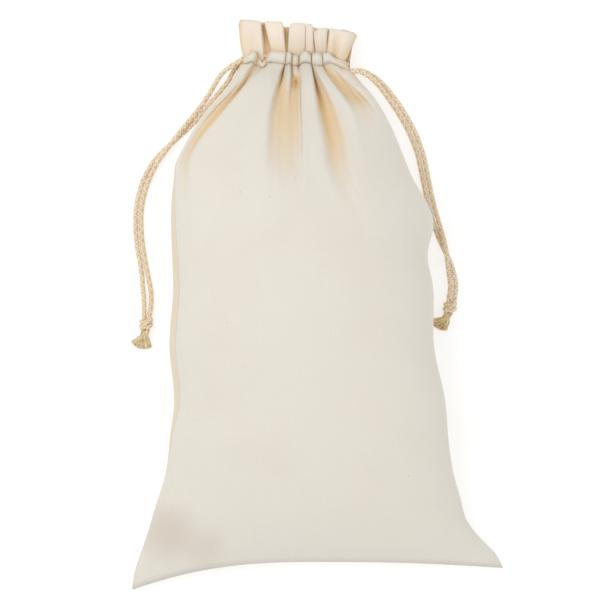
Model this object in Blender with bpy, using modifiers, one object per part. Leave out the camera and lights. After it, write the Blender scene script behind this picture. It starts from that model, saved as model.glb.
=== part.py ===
"""Filled cotton drawstring bag that lies on its back panel.

Metres, +Z up. The mouth points to +Y, and the bag rests on z = 0.
Run with: blender --background --python part.py
"""

import math

import bmesh
import bpy
import numpy as np
from mathutils import Matrix, Vector

MM = 0.001

# Cloth and body
FLAT_WIDTH = 300 * MM  # each panel between its side seams, before the bag is filled
BODY_LENGTH = 388 * MM  # bottom seam to lower casing stitch, along the middle of the filled bag
FILLED_HEIGHT = 114 * MM  # the filled bag's highest point above the surface
CLOTH = 1.0 * MM
SEAM_GAP = 0.3 * MM  # between the two panels where they are sewn together
LAYER_GAP = 0.4 * MM  # between the folded layers where they are stitched together
CORNER_DROP_LEFT = 23 * MM  # how far the corner tips reach below the middle of the bottom seam
CORNER_DROP_RIGHT = 6 * MM
CORNER_FADE = 0.30  # share of the body length over which that drop fades out

# Neck
NECK_X = -16.4 * MM
NECK_Y = 193.2 * MM  # middle of the casing
NECK_Z = 18 * MM  # plane half way between the front and the back casing
NECK_WIDTH = 83.4 * MM
MOUTH_HEIGHT = 9.4 * MM  # clear height between the inner layers of the gathered neck
HEADER_WIDTH = 90.5 * MM
HEADER_LENGTH = 20.5 * MM  # upper casing stitch to the folded top edge
HEADER_SIDE_LEVEL = 1.9 * MM  # height of the header's side edges above the neck plane
FRONT_FOLD_HEIGHT = 8 * MM  # from the bottom of a gather to its ridge
BACK_FOLD_HEIGHT = 6 * MM  # the gathers underneath are pressed flatter
BACK_FOLD_COUNT = 5
CASING_ARCH = 5.0 * MM  # how far the casing's ends lie below its middle
CASING_TILT = 2.4 * MM  # how much further the right end drops than the left
HEADER_ARCH = 2.7 * MM
HEADER_TILT = 5.5 * MM
SLIT_WIDTH_SHARE = 0.80  # width of the inner casing layer, which stops short of the turning cord

# Cords
CORD_DIAMETER = 4.0 * MM
CORD_CLEARANCE = 0.3 * MM
CORD_SIDES_RESOLUTION = 2
CORD_STEP = 10.5 * MM  # distance between the points of the plain tube
KNOT_LENGTH = 11.5 * MM
KNOT_WIDTH = 11.5 * MM
KNOT_HEIGHT = 10.0 * MM
KNOT_MARGIN = 0.2 * MM  # how far the knot's upper end reaches past the two strands
TASSEL_LENGTH = 15 * MM
TASSEL_HEAD_LENGTH = 2.5 * MM
LOCK_COUNT = 7
LOCK_SIDES = 6
LOW_LOCK_LIFT = 1.1 * MM  # height of a lock's tip above the surface, on every second lock
HIGH_LOCK_LIFT = 2.4 * MM

CORD_SPACING = CORD_DIAMETER + CORD_CLEARANCE
# Height of the cords above and below the neck plane, which is also the radius of their turn
CORD_RISE = MOUTH_HEIGHT / 2 + CLOTH + CORD_CLEARANCE + CORD_DIAMETER / 2
INNER_LEVEL = MOUTH_HEIGHT / 2 + CLOTH
STITCH_LEVEL = INNER_LEVEL + LAYER_GAP
CASING_LEVEL = CORD_RISE + CORD_DIAMETER / 2 + CORD_CLEARANCE
CASING_SIDE_LEVEL = CORD_RISE + 0.4 * CORD_DIAMETER
CASING_SIDE = CORD_SPACING / 2 + CORD_DIAMETER / 2 + CORD_CLEARANCE / 2
STITCH_OFFSET = CASING_SIDE + CLOTH + CORD_CLEARANCE / 2
KNOT_RISE = KNOT_HEIGHT / 2 + 0.1 * MM
KNOT_GAP = 3 * CORD_CLEARANCE  # the strands come in at a slight angle

# Sections of the body, from the bottom seam (0) to the lower casing stitch (1).
# left, right: outline as shares of FLAT_WIDTH. top, bottom, left_seam, right_seam: heights as shares of
# FILLED_HEIGHT, where a bottom below zero is pressed flat on the surface. inset: how far the left seam lies
# inside the outline. front_power, back_power: low is boxy, high is flat towards the seams.
SECTION_COLUMNS = (
    "along", "left", "right", "top", "bottom", "left_seam", "right_seam", "inset", "front_power", "back_power",
)
SECTIONS = (
    (0.000, -0.482, 0.482, 0.21, 0.21, 0.045, 0.045, 0.000, 1.30, 1.30),
    (0.024, -0.476, 0.465, 0.35, 0.09, 0.060, 0.060, 0.000, 1.35, 1.20),
    (0.054, -0.459, 0.423, 0.46, 0.00, 0.100, 0.100, 0.000, 1.25, 1.00),
    (0.088, -0.439, 0.387, 0.55, -0.05, 0.160, 0.160, 0.000, 1.15, 0.85),
    (0.128, -0.420, 0.371, 0.63, -0.08, 0.220, 0.210, 0.000, 1.05, 0.75),
    (0.184, -0.394, 0.350, 0.72, -0.10, 0.310, 0.270, 0.003, 0.95, 0.65),
    (0.254, -0.381, 0.337, 0.81, -0.10, 0.400, 0.320, 0.008, 0.90, 0.60),
    (0.314, -0.369, 0.331, 0.87, -0.10, 0.450, 0.345, 0.014, 0.85, 0.55),
    (0.434, -0.380, 0.300, 0.95, -0.10, 0.500, 0.360, 0.016, 0.80, 0.55),
    (0.555, -0.370, 0.297, 0.99, -0.10, 0.520, 0.360, 0.016, 0.80, 0.55),
    (0.615, -0.373, 0.283, 1.00, -0.10, 0.520, 0.355, 0.015, 0.80, 0.55),
    (0.687, -0.377, 0.298, 0.99, -0.10, 0.500, 0.345, 0.012, 0.80, 0.55),
    (0.725, -0.376, 0.280, 0.96, -0.10, 0.480, 0.330, 0.010, 0.78, 0.55),
    (0.765, -0.372, 0.250, 0.91, -0.09, 0.440, 0.310, 0.006, 0.76, 0.55),
    (0.805, -0.366, 0.229, 0.83, -0.08, 0.390, 0.280, 0.003, 0.72, 0.52),
    (0.841, -0.342, 0.212, 0.74, -0.06, 0.330, 0.250, 0.000, 0.68, 0.50),
    (0.877, -0.317, 0.195, 0.65, -0.05, 0.280, 0.220, 0.000, 0.62, 0.48),
    (0.909, -0.290, 0.177, 0.56, -0.04, 0.230, 0.195, 0.000, 0.56, 0.45),
    (0.941, -0.256, 0.154, 0.47, -0.02, 0.190, 0.175, 0.000, 0.48, 0.40),
    (0.969, -0.224, 0.127, 0.39, 0.00, 0.165, 0.162, 0.000, 0.40, 0.35),
    (0.985, -0.210, 0.106, 0.34, 0.010, 0.158, 0.158, 0.000, 0.36, 0.32),
)
BODY_ROWS = (
    0.0, 0.024, 0.054, 0.088, 0.128, 0.184, 0.254, 0.33, 0.41, 0.49, 0.57, 0.63, 0.687, 0.735,
    0.78, 0.82, 0.86, 0.895, 0.925, 0.95, 0.97, 0.985,
)

# Gathers of the front, from left to right. header, casing, body: place across the width there.
# The depths are shares of the fold height. reach: how far the fold runs into the body, as a share of its length.
FOLD_COLUMNS = ("header", "casing", "body", "header_depth", "casing_depth", "body_depth", "reach")
FRONT_FOLDS = (
    (0.000, 0.000, 0.000, 1.0, 1.0, 0.0, 0.10),  # left edge
    (0.090, 0.103, 0.035, 0.0, 0.0, 0.0, 0.20),
    (0.194, 0.187, 0.075, 1.0, 1.0, 1.3, 0.24),  # long valley that runs down the left side
    (0.240, 0.262, 0.140, 0.0, 0.0, 0.0, 0.20),
    (0.345, 0.380, 0.390, 0.0, 0.0, 0.0, 0.16),
    (0.400, 0.425, 0.475, 1.0, 1.0, 0.9, 0.17),  # broad valley that fades early
    (0.490, 0.475, 0.540, 0.0, 0.1, 0.4, 0.14),
    (0.575, 0.525, 0.585, 0.8, 0.9, 0.6, 0.12),
    (0.610, 0.593, 0.620, 0.0, 0.0, 0.0, 0.20),
    (0.650, 0.638, 0.700, 0.9, 1.0, 1.4, 0.27),  # dark valley that fans out to the right
    (0.700, 0.695, 0.790, 0.0, 0.0, 0.0, 0.20),
    (0.765, 0.745, 0.865, 0.6, 0.9, 0.8, 0.10),
    (0.840, 0.800, 0.930, 0.1, 0.0, 0.0, 0.10),
    (0.940, 0.900, 0.975, 0.0, 0.2, 0.0, 0.10),
    (1.000, 1.000, 1.000, 1.0, 1.0, 0.0, 0.10),  # right edge
)
BODY_SHARE_AT = 0.83  # share of the length at which the body column of the table holds
EVEN_SHARE_AT = 0.60  # below this the columns spread evenly round the section

# Rows above the lower stitch. offset: along +Y from the casing's middle. level: bottom of the gathers
# above the neck plane. fold: share of the fold height. header: 0 at the casing, 1 at the header's top edge.
OUTER_NECK_ROWS = (
    (-STITCH_OFFSET, STITCH_LEVEL, 0.75, 0.0),
    (-CASING_SIDE, CASING_SIDE_LEVEL, 0.95, 0.0),
    (-CORD_SPACING / 2, CASING_LEVEL, 1.0, 0.0),
    (CORD_SPACING / 2, CASING_LEVEL, 1.0, 0.0),
    (CASING_SIDE, CASING_SIDE_LEVEL, 0.95, 0.0),
    (STITCH_OFFSET, STITCH_LEVEL, 0.75, 0.0),
    (STITCH_OFFSET + 0.14 * HEADER_LENGTH, STITCH_LEVEL, 0.85, 0.2),
    (STITCH_OFFSET + 0.55 * HEADER_LENGTH, STITCH_LEVEL, 1.0, 0.6),
    (STITCH_OFFSET + HEADER_LENGTH, STITCH_LEVEL, 1.1, 1.0),
)

# Route of each cord's free pair of strands, from the casing's side to the knot, in millimetres.
# apart: between the two strands. turn: degrees round the pair, where 90 has the front strand on top.
ROUTE_COLUMNS = ("x", "y", "z", "apart", "turn")
LEFT_ROUTE = (
    (-58.1, 192.7, 18.0, 16.0, 90),
    (-65.1, 187.0, 17.0, 14.5, 100),
    (-71.6, 179.6, 13.5, 11.0, 130),
    (-79.6, 168.6, 8.5, 6.4, 160),
    (-88.2, 156.7, 4.5, 4.5, 172),
    (-102.6, 139.8, 2.0, 4.3, 135),
    (-115.0, 126.5, 2.0, 4.3, 90),
    (-127.5, 111.7, 2.0, 4.3, 45),
    (-136.1, 93.8, 2.0, 4.3, 8),
    (-140.0, 77.4, 2.0, 4.3, 0),
    (-140.6, 61.8, 2.0, 4.3, 0),
    (-139.2, 45.4, 2.0, 4.3, 0),
    (-136.4, 29.0, 2.0, 4.3, 0),
    (-134.4, 15.9, 2.2, 5.6, 0),
    (-133.4, 5.7, 3.2, 6.4, 0),
    (-133.2, -1.3, 4.6, 4.6, 0),
    (-133.8, -7.7, 5.1, 4.3, 0),
)
RIGHT_ROUTE = (
    (25.3, 183.6, 18.0, 16.0, 90),
    (32.0, 183.6, 17.5, 14.5, 94),
    (39.8, 180.5, 15.0, 11.0, 100),
    (48.8, 173.5, 10.5, 8.0, 112),
    (57.3, 163.2, 6.5, 5.4, 138),
    (65.9, 150.7, 3.4, 4.4, 165),
    (73.7, 136.7, 2.0, 4.3, 180),
    (80.4, 119.5, 2.0, 4.3, 180),
    (84.8, 99.2, 2.0, 4.3, 180),
    (88.4, 82.1, 2.0, 4.3, 180),
    (92.6, 66.5, 2.0, 4.3, 185),
    (97.1, 52.4, 2.0, 4.3, 220),
    (101.4, 39.9, 2.0, 4.3, 270),
    (104.6, 27.5, 2.0, 4.3, 325),
    (106.4, 16.5, 3.4, 4.3, 355),
    (106.6, 10.6, 4.8, 4.3, 360),
    (105.4, 5.3, 5.1, 4.3, 360),
)

# Direction in plan of each knot and tassel, in degrees from +X
LEFT_KNOT_HEADING = -96.0
LEFT_TASSEL_HEADING = -106.0
RIGHT_KNOT_HEADING = -103.0
RIGHT_TASSEL_HEADING = -132.0

COTTON = ((0.76, 0.72, 0.65), 0.92)
COTTON_BACK = ((0.74, 0.69, 0.60), 0.92)
CORD_COTTON = ((0.69, 0.56, 0.40), 0.95)


def clear_scene():
    for old in list(bpy.data.objects):
        bpy.data.objects.remove(old, do_unlink=True)


def material(name, look):
    colour, roughness = look
    made = bpy.data.materials.new(name)
    made.use_nodes = True
    shader = made.node_tree.nodes["Principled BSDF"]
    shader.inputs["Base Color"].default_value = (*colour, 1.0)
    shader.inputs["Roughness"].default_value = roughness
    shader.inputs["Metallic"].default_value = 0.0
    return made


def add_object(name, data, look, collection):
    made = bpy.data.objects.new(name, data)
    made.data.materials.append(material(name, look))
    collection.objects.link(made)
    return made


def ease(value):
    """Smooth step from 0 to 1, flat at both ends."""
    value = min(1.0, max(0.0, value))
    return value * value * (3 - 2 * value)


def mix(first, second, share):
    return first + (second - first) * share


def smooth_column(table, column, place):
    """Value of one column on a smooth curve through the table's rows, whose first column is the place."""
    rows = np.array([row[: column + 1] for row in table], dtype=float)
    places, values = rows[:, 0], rows[:, column]
    slopes = np.gradient(values, places)
    index = int(np.clip(np.searchsorted(places, place) - 1, 0, len(places) - 2))
    width = places[index + 1] - places[index]
    share = min(1.0, max(0.0, (place - places[index]) / width))
    rise = values[index + 1] - values[index]
    start, end = slopes[index] * width, slopes[index + 1] * width
    return values[index] + share * (
        start + share * (3 * rise - 2 * start - end + share * (start + end - 2 * rise))
    )


def section(along):
    """The body's section there, as a dictionary of the table's columns."""
    return {
        name: smooth_column(SECTIONS, column, along)
        for column, name in enumerate(SECTION_COLUMNS)
    }


def back_folds():
    """The plain, even gathers of the back, in the columns of FRONT_FOLDS."""
    rows = [(0.0, 0.0, 0.0, 1.0, 1.0, 0.0, 0.1)]
    steps = 2 * BACK_FOLD_COUNT
    for step in range(1, steps):
        share = step / steps
        valley = 1.0 - step % 2
        rows.append((share, share, share, valley, valley, valley, 0.12))
    rows.append((1.0, 1.0, 1.0, 1.0, 1.0, 0.0, 0.1))
    return rows


def fold_columns(folds):
    """One dictionary for each column of the panel's grid: each fold, and a point half way to the next."""
    columns = []
    for index, fold in enumerate(folds):
        columns.append(dict(zip(FOLD_COLUMNS, fold)))
        if index + 1 < len(folds):
            halves = [mix(a, b, 0.5) for a, b in zip(fold, folds[index + 1])]
            columns.append(dict(zip(FOLD_COLUMNS, halves)))
    for index, column in enumerate(columns):
        column["even"] = index / (len(columns) - 1)
    return columns


def column_angle(share):
    return (2 * share - 1) * math.pi / 2


def round_share(even):
    """Place across the width of a column that is spread evenly round a rounded section."""
    return (1 + math.sin(column_angle(even))) / 2


def body_share(column, along):
    """Place of a column across the outline: evenly round the body, then on its fold, then at the neck."""
    low = mix(
        round_share(column["even"]),
        column["body"],
        ease((along - EVEN_SHARE_AT) / (BODY_SHARE_AT - EVEN_SHARE_AT)),
    )
    return mix(low, column["casing"], ease((along - BODY_SHARE_AT) / (1 - BODY_SHARE_AT)))


def casing_line(across):
    """Y of the casing's middle against its centre, where across runs from -1 on the left to 1 on the right."""
    return -CASING_ARCH * across**2 - CASING_TILT * across


def header_line(across):
    return -HEADER_ARCH * across**2 - HEADER_TILT * across


def left_bulge(even):
    """How the back swells outside the left seam, highest a little below it."""
    peak_at = 0.06
    return even / peak_at * math.exp(1 - even / peak_at)


def body_point(column, along, side):
    """Point on the inner face of a panel below the casing. side is 1 for the front and -1 for the back."""
    row = section(along)
    share = body_share(column, along)
    left = (row["left"] + row["inset"]) * FLAT_WIDTH
    right = row["right"] * FLAT_WIDTH
    x = mix(left, right, share)
    if side < 0:
        x -= 1.4 * row["inset"] * FLAT_WIDTH * left_bulge(column["even"])
    across = 2 * share - 1
    corner = max(0.0, 1 - along / CORNER_FADE) ** 2
    drop = CORNER_DROP_LEFT if across < 0 else CORNER_DROP_RIGHT
    neck = ease((along - 0.7) / 0.3)
    y = NECK_Y - STITCH_OFFSET - BODY_LENGTH * (1 - along)
    y += neck * casing_line(across) - corner * drop * abs(across) ** 2.5
    chord = mix(row["left_seam"], row["right_seam"], share) * FILLED_HEIGHT
    middle = (row["left_seam"] + row["right_seam"]) / 2 * FILLED_HEIGHT
    wall = math.cos(math.asin(max(-1.0, min(1.0, across))))
    reach = ease(1 - (1 - along) / column["reach"])
    if side > 0:
        arc = wall ** row["front_power"]
        fold = column["body_depth"] * FRONT_FOLD_HEIGHT * reach
        z = chord + (row["top"] * FILLED_HEIGHT - middle) * arc - fold * arc + SEAM_GAP / 2
        return Vector((x, y, z))
    arc = wall ** row["back_power"]
    fold = column["body_depth"] * BACK_FOLD_HEIGHT * reach
    z = chord + (row["bottom"] * FILLED_HEIGHT - middle) * arc + fold * arc - SEAM_GAP / 2
    return Vector((x, y, max(z, CLOTH)))


def neck_point(column, row, side, layer):
    """Point on the channel side of a panel at the casing or header. layer is 'outer' or 'inner'."""
    offset, level, fold, header = row
    height = FRONT_FOLD_HEIGHT if side > 0 else BACK_FOLD_HEIGHT
    share = mix(column["casing"], column["header"], header)
    depth = mix(column["casing_depth"], column["header_depth"], header)
    width = mix(NECK_WIDTH, HEADER_WIDTH, header)
    across = 2 * share - 1
    x = NECK_X + across * width / 2
    y = NECK_Y + offset + mix(casing_line(across), header_line(across), header)
    side_share = ease((1 - abs(across)) / 0.24)
    above_stitch = offset > STITCH_OFFSET
    low = mix(HEADER_SIDE_LEVEL, level, side_share) if above_stitch else level
    rise = low + fold * height * (1 - depth)
    if layer == "inner":
        rise -= LAYER_GAP
    return Vector((x, y, NECK_Z + side * rise))


def inner_casing_point(column, offset, side):
    """Point on the flat inner layer behind the cords, narrower than the casing so that the cords can turn."""
    across = 2 * column["casing"] - 1
    x = NECK_X + across * SLIT_WIDTH_SHARE * NECK_WIDTH / 2
    y = NECK_Y + offset + casing_line(across * SLIT_WIDTH_SHARE)
    return Vector((x, y, NECK_Z + side * INNER_LEVEL))


def top_fold_point(column, side):
    """Point in the middle of the fold along the header's top edge."""
    point = neck_point(column, OUTER_NECK_ROWS[-1], side, "outer")
    return point + Vector((0.0, LAYER_GAP / 2, -side * LAYER_GAP / 2))


def panel_rows(columns, side):
    """All rows of a panel's channel side: up the body, over the header's top edge and down inside."""
    rows = [[body_point(c, along, side) for c in columns] for along in BODY_ROWS]
    rows += [[neck_point(c, row, side, "outer") for c in columns] for row in OUTER_NECK_ROWS]
    rows.append([top_fold_point(c, side) for c in columns])
    header_rows = [row for row in OUTER_NECK_ROWS if row[0] >= STITCH_OFFSET]
    rows += [[neck_point(c, row, side, "inner") for c in columns] for row in reversed(header_rows)]
    rows += [[inner_casing_point(c, place, side) for c in columns] for place in (CASING_SIDE, -CASING_SIDE)]
    rows.append([neck_point(c, OUTER_NECK_ROWS[0], side, "inner") for c in columns])
    return rows


def open_seam(rows, columns, side):
    """Parts the side edges just below the casing, where the slit for the cords begins."""
    last = len(BODY_ROWS) - 1
    lift = (STITCH_LEVEL - SEAM_GAP / 2) * 0.3
    for index in (0, len(columns) - 1):
        rows[last][index].z += side * lift


def add_panel(name, folds, side, look, collection):
    """One cloth panel: its channel side as a grid, thickened away from the channel."""
    columns = fold_columns(folds)
    rows = panel_rows(columns, side)
    open_seam(rows, columns, side)
    grid = bmesh.new()
    points = [[grid.verts.new(point) for point in row] for row in rows]
    for low, high in zip(points, points[1:]):
        for index in range(len(columns) - 1):
            corners = (low[index], low[index + 1], high[index + 1], high[index])
            grid.faces.new(corners if side > 0 else corners[::-1])
    mesh = bpy.data.meshes.new(name)
    grid.to_mesh(mesh)
    grid.free()
    mesh.shade_smooth()
    panel = add_object(name, mesh, look, collection)
    thick = panel.modifiers.new("cloth", "SOLIDIFY")
    thick.thickness = CLOTH
    thick.offset = 1.0
    return panel


def smooth_route(rows, step):
    """Dictionaries of the route's columns at even steps on a smooth curve through its points."""
    points = np.array(rows, dtype=float)
    lengths = np.linalg.norm(np.diff(points[:, :3], axis=0), axis=1)
    places = np.concatenate([[0.0], np.cumsum(lengths)])
    count = max(2, round(places[-1] * MM / step)) + 1
    table = [(place, *row) for place, row in zip(places, rows)]
    return [
        {
            name: smooth_column(table, column + 1, place)
            for column, name in enumerate(ROUTE_COLUMNS)
        }
        for place in np.linspace(0.0, places[-1], count)
    ]


def strand_points(rows, front):
    """One strand of a free pair. It never sinks below the surface that the bag lies on."""
    stations = smooth_route(rows, CORD_STEP)
    plan = np.array([(s["x"], s["y"]) for s in stations])
    heading = np.gradient(plan, axis=0)
    heading /= np.linalg.norm(heading, axis=1)[:, None]
    points = []
    for station, (dx, dy) in zip(stations, heading):
        turn = math.radians(station["turn"])
        half = max(station["apart"] * MM, CORD_SPACING) / 2
        lift = max(station["z"] * MM, CORD_DIAMETER / 2 + half * abs(math.sin(turn)))
        sideways = Vector((-dy, dx, 0.0)) * math.cos(turn)
        offset = (sideways + Vector((0.0, 0.0, math.sin(turn)))) * half
        centre = Vector((station["x"] * MM, station["y"] * MM, lift))
        points.append(centre + offset if front else centre - offset)
    return points


def channel_point(x, lane, z):
    across = (x - NECK_X) / (NECK_WIDTH / 2)
    return Vector((x, NECK_Y + lane + casing_line(across), z))


def drawstring_points(route, side, lane):
    """A whole cord: front strand up from the knot, once round the neck, and the back strand down again.

    side is -1 for the cord that leaves on the left, and lane its place across the casing's height.
    """
    front = strand_points(route, True)[::-1]
    back = strand_points(route, False)
    entry = NECK_X + side * NECK_WIDTH / 2
    turn_at = NECK_X - side * (NECK_WIDTH / 2 - CORD_RISE - CORD_DIAMETER / 2)
    steps = max(2, round(abs(turn_at - entry) / CORD_STEP))
    straight = np.linspace(entry, turn_at, steps + 1)[1:-1]
    ring = [channel_point(x, lane, NECK_Z + CORD_RISE) for x in straight]
    for step in range(7):
        angle = math.radians(90 - 30 * step)
        x = turn_at - side * CORD_RISE * math.cos(angle)
        ring.append(channel_point(x, lane, NECK_Z + CORD_RISE * math.sin(angle)))
    ring += [channel_point(x, lane, NECK_Z - CORD_RISE) for x in straight[::-1]]
    return front + ring + back


def add_drawstring(name, route, side, lane, collection):
    points = drawstring_points(route, side, lane)
    curve = bpy.data.curves.new(name, "CURVE")
    curve.dimensions = "3D"
    curve.bevel_depth = CORD_DIAMETER / 2
    curve.bevel_resolution = CORD_SIDES_RESOLUTION
    curve.use_fill_caps = True
    spline = curve.splines.new("POLY")
    spline.points.add(len(points) - 1)
    for target, point in zip(spline.points, points):
        target.co = (*point, 1.0)
    return add_object(name, curve, CORD_COTTON, collection)


def placed(start, heading):
    """Matrix that puts local +X along a heading in plan, from a start point."""
    return Matrix.Translation(start) @ Matrix.Rotation(math.radians(heading), 4, "Z")


def join_solids(name, solids, place, collection, helpers):
    """Unites closed meshes into one body. The first takes the Booleans, and the others become its helpers."""
    base = add_object(name, solids[0], CORD_COTTON, collection)
    base.matrix_world = place
    for index, mesh in enumerate(solids[1:]):
        other = bpy.data.objects.new(f"{name}_helper_{index}", mesh)
        helpers.objects.link(other)
        other.matrix_world = place
        other.hide_render = True
        other.display_type = "WIRE"
        union = base.modifiers.new(f"join_{index}", "BOOLEAN")
        union.operation = "UNION"
        union.solver = "EXACT"
        union.object = other
    return base


def cone_mesh(name, start, end, start_radius, end_radius, sides):
    """A tapered closed piece between two points."""
    shape = bmesh.new()
    axis = end - start
    turn = axis.to_track_quat("Z", "Y").to_matrix().to_4x4()
    bmesh.ops.create_cone(
        shape,
        cap_ends=True,
        segments=sides,
        radius1=start_radius,
        radius2=end_radius,
        depth=axis.length,
        matrix=Matrix.Translation((start + end) / 2) @ turn,
    )
    mesh = bpy.data.meshes.new(name)
    shape.to_mesh(mesh)
    shape.free()
    return mesh


def ring_mesh(name, centre_x, tilt, major, minor, squash):
    """One wrap of the knot: a ring round local X, leaned by tilt and pressed to the knot's height."""
    around, across = 14, 7
    shape = bmesh.new()
    lean = Matrix.Rotation(math.radians(tilt), 4, "Z")
    rings = []
    for i in range(around):
        turn = 2 * math.pi * i / around
        ring = []
        for j in range(across):
            angle = 2 * math.pi * j / across
            radius = major + minor * math.cos(angle)
            point = Vector((minor * math.sin(angle), radius * math.cos(turn), radius * math.sin(turn) * squash))
            ring.append(shape.verts.new(Vector((centre_x, 0.0, 0.0)) + lean @ point))
        rings.append(ring)
    for i in range(around):
        first, second = rings[i], rings[(i + 1) % around]
        for j in range(across):
            k = (j + 1) % across
            shape.faces.new((first[j], second[j], second[k], first[k]))
    bmesh.ops.recalc_face_normals(shape, faces=shape.faces)
    mesh = bpy.data.meshes.new(name)
    shape.to_mesh(mesh)
    shape.free()
    return mesh


def add_knot(name, entry, heading, collection, helpers):
    """A barrel with flat ends, where the strands go in and the tassel comes out, and two leaning wraps."""
    half_width = KNOT_WIDTH / 2
    squash = KNOT_HEIGHT / KNOT_WIDTH
    minor = CORD_DIAMETER / 2
    entry_radius = CORD_SPACING / 2 + minor + KNOT_MARGIN
    core = cone_mesh(name, Vector((0, 0, 0)), Vector((KNOT_LENGTH, 0, 0)), entry_radius, 0.62 * half_width, 12)
    core.transform(Matrix.Diagonal((1.0, 1.0, squash, 1.0)))
    wraps = [
        ring_mesh(f"{name}_wrap", place * KNOT_LENGTH, tilt, half_width - minor, minor, squash)
        for place, tilt in ((0.36, -14), (0.66, 10))
    ]
    return join_solids(name, [core, *wraps], placed(entry, heading), collection, helpers)


def add_tassel(name, knot_entry, knot_heading, heading, collection, helpers):
    """A head against the knot's lower end, and locks that fan out from it down to the surface."""
    radius = 0.3 * KNOT_WIDTH
    knot_axis = placed(Vector((0, 0, 0)), knot_heading) @ Vector((1, 0, 0))
    start = knot_entry + knot_axis * (KNOT_LENGTH + CORD_CLEARANCE)
    turn = Matrix.Rotation(math.radians(heading - knot_heading), 4, "Z")
    root = Vector((0.5 * TASSEL_HEAD_LENGTH, 0, 0))
    solids = [cone_mesh(name, Vector((0, 0, 0)), Vector((TASSEL_HEAD_LENGTH, 0, 0)), radius, radius, 10)]
    for index in range(LOCK_COUNT):
        share = 2 * index / (LOCK_COUNT - 1) - 1
        fan = math.radians(30 * share)
        thick = 0.14 * KNOT_WIDTH
        length = TASSEL_LENGTH * (1 - 0.12 * share * share)
        floor = thick + (LOW_LOCK_LIFT if index % 2 else HIGH_LOCK_LIFT)
        tip = turn @ Vector((length * math.cos(fan), length * math.sin(fan), 0)) + Vector((0, 0, floor - KNOT_RISE))
        heel = root + Vector((0, 0.6 * radius * share, 0))
        solids.append(cone_mesh(f"{name}_lock", heel, tip, 0.10 * KNOT_WIDTH, thick, LOCK_SIDES))
    return join_solids(name, solids, placed(start, knot_heading), collection, helpers)


def knot_entry(route, heading):
    """Where the knot's flat upper end meets the strands' ends, with a small clearance."""
    x, y, z = (value * MM for value in route[-1][:3])
    return Vector((x, y, KNOT_RISE)) + placed(Vector((0, 0, 0)), heading) @ Vector((KNOT_GAP, 0, 0))


def main():
    clear_scene()
    bag = bpy.data.collections.new("drawstring_bag")
    helpers = bpy.data.collections.new("helpers")
    for collection in (bag, helpers):
        bpy.context.scene.collection.children.link(collection)
    add_panel("front_panel", FRONT_FOLDS, 1, COTTON, bag)
    add_panel("back_panel", back_folds(), -1, COTTON_BACK, bag)
    lane = CORD_SPACING / 2
    cords = (
        ("left", LEFT_ROUTE, -1, lane, LEFT_KNOT_HEADING, LEFT_TASSEL_HEADING),
        ("right", RIGHT_ROUTE, 1, -lane, RIGHT_KNOT_HEADING, RIGHT_TASSEL_HEADING),
    )
    for name, route, side, place, knot_heading, tassel_heading in cords:
        add_drawstring(f"{name}_drawstring", route, side, place, bag)
        entry = knot_entry(route, knot_heading)
        add_knot(f"{name}_knot", entry, knot_heading, bag, helpers)
        add_tassel(f"{name}_tassel", entry, knot_heading, tassel_heading, bag, helpers)


main()
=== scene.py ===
"""Looks of a filled cotton drawstring bag: cloth, stitching, braided cords, tied knots and tassels."""

import math
import random

import bpy
import numpy as np
from mathutils import Matrix, Vector, noise


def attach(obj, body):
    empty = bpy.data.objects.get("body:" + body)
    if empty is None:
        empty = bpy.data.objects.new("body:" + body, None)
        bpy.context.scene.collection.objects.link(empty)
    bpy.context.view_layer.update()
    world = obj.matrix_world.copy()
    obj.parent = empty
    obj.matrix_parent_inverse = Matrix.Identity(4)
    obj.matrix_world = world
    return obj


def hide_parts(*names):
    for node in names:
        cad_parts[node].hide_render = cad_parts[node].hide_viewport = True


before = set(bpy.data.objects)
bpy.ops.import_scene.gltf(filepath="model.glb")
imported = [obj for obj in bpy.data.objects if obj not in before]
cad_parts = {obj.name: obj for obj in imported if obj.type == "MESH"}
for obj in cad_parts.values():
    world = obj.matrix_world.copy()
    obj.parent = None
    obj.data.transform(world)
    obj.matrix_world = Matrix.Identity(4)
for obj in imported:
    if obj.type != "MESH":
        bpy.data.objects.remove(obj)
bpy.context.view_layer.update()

MM = 0.001

# The photograph's frame: real size of a pixel in the 612 x 612 image, and the pixel over the model's origin
PIXEL = 0.78 * MM
ORIGIN_PX = 317.5
ORIGIN_PY = 305.2
IMAGE_SIDE = 612
CAMERA_DISTANCE = 6.0
OUTLINE_HEIGHT = 40 * MM  # height of the bag's outline, which the camera is framed on

# Sizes repeated from the solids
FLAT_WIDTH = 300 * MM
BODY_LENGTH = 388 * MM
FILLED_HEIGHT = 114 * MM
SEAM_GAP = 0.3 * MM
LAYER_GAP = 0.4 * MM
CORNER_DROP_LEFT = 23 * MM
CORNER_DROP_RIGHT = 6 * MM
CORNER_FADE = 0.30
NECK_X = -16.4 * MM
NECK_Y = 193.2 * MM
NECK_Z = 18 * MM
NECK_WIDTH = 83.4 * MM
BACK_FOLD_HEIGHT = 6 * MM
CASING_ARCH = 5.0 * MM
CASING_TILT = 2.4 * MM
HEADER_WIDTH = 90.5 * MM
INNER_LEVEL = 5.7 * MM
STITCH_LEVEL = INNER_LEVEL + LAYER_GAP
HEADER_SIDE_LEVEL = 1.9 * MM
CORD_DIAMETER = 4.0 * MM
CORD_CLEARANCE = 0.3 * MM
CORD_SPACING = CORD_DIAMETER + CORD_CLEARANCE
CORD_RISE = 8.0 * MM
KNOT_LENGTH = 11.5 * MM
KNOT_WIDTH = 11.5 * MM
KNOT_HEIGHT = 10.0 * MM
KNOT_RISE = KNOT_HEIGHT / 2 + 0.1 * MM
KNOT_GAP = 3 * CORD_CLEARANCE
TASSEL_LENGTH = 15 * MM

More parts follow.
